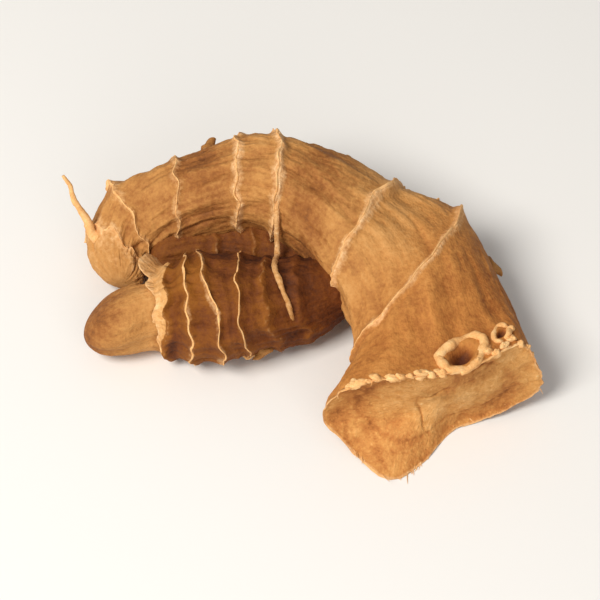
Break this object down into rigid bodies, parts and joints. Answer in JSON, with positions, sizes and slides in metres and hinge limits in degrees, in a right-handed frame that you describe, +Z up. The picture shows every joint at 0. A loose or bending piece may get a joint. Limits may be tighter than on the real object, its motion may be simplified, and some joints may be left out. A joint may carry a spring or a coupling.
{
  "type": "galangal rhizome",
  "caption": "Dried galangal rhizome: an arched ringed finger that ends in a broad cut face, with a shorter ringed finger curled in its crook.",
  "frame": {"origin": "centre of the outline in plan, on the surface that the rhizome lies on", "axes": "+X along the length, from the curled tip to the broad cut end; +Y across, away from the fork's opening side; +Z up"},
  "size_m": [0.0568, 0.0432, 0.0172],
  "materials": {
    "dried_rhizome": "dry, matt, fibrous skin in tan to orange brown with cream rings"
  },
  "bodies": {
    "root": {"rhizome": "dried_rhizome"}
  },
  "joints": []
}
